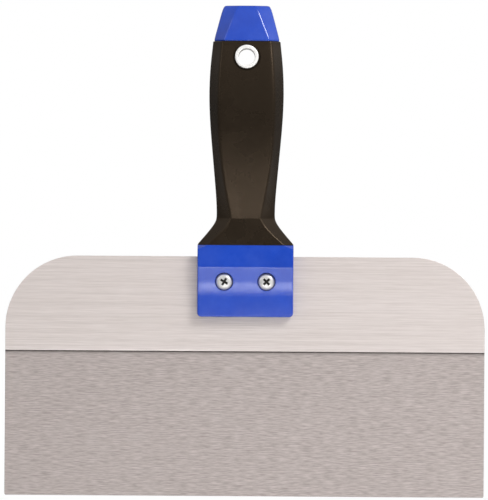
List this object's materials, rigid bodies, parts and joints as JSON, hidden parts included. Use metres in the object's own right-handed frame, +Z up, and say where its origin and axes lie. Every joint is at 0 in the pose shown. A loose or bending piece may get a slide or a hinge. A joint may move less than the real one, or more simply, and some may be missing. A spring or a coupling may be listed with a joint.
{
  "type": "flexible putty knife",
  "caption": "Broad flexible putty and taping knife: a thin sprung steel blade with a stiffener plate, clamped in a soft-grip handle with a metal-lined hang hole.",
  "frame": {"origin": "centre of the hang hole, halfway through the handle", "axes": "+X across the blade to the right as seen from the front, +Y from the front to the back, +Z up the handle from the cutting edge to the butt"},
  "size_m": [0.254, 0.0278, 0.2599],
  "materials": {
    "blade_steel": "ground spring steel, short marks along the edge",
    "stiffener_steel": "bright, finely brushed",
    "core_plastic": "hard blue moulding, satin gloss",
    "grip_rubber": "soft black overmould, low sheen",
    "screw_plating": "bright zinc plating",
    "nut_steel": "zinc plated steel",
    "eyelet_plating": "polished nickel plating"
  },
  "bodies": {
    "handle": {"handle_core": "core_plastic", "grip": "grip_rubber", "stiffener_plate": "stiffener_steel", "blade_tang": "blade_steel", "clamp_screw_left": "screw_plating", "clamp_screw_right": "screw_plating", "clamp_nut_left": "nut_steel", "clamp_nut_right": "nut_steel", "hang_eyelet": "eyelet_plating", "hang_eyelet_ring": "eyelet_plating"},
    "blade": {"blade": "blade_steel"}
  },
  "joints": [
    {"name": "blade_flex", "type": "hinge", "parent": "handle", "child": "blade", "pos_m": [0, 0.0005, -0.16793], "axis": [1, 0, 0], "range_deg": [-20, 20], "stiffness_Nm_per_rad": 15.6}
  ]
}
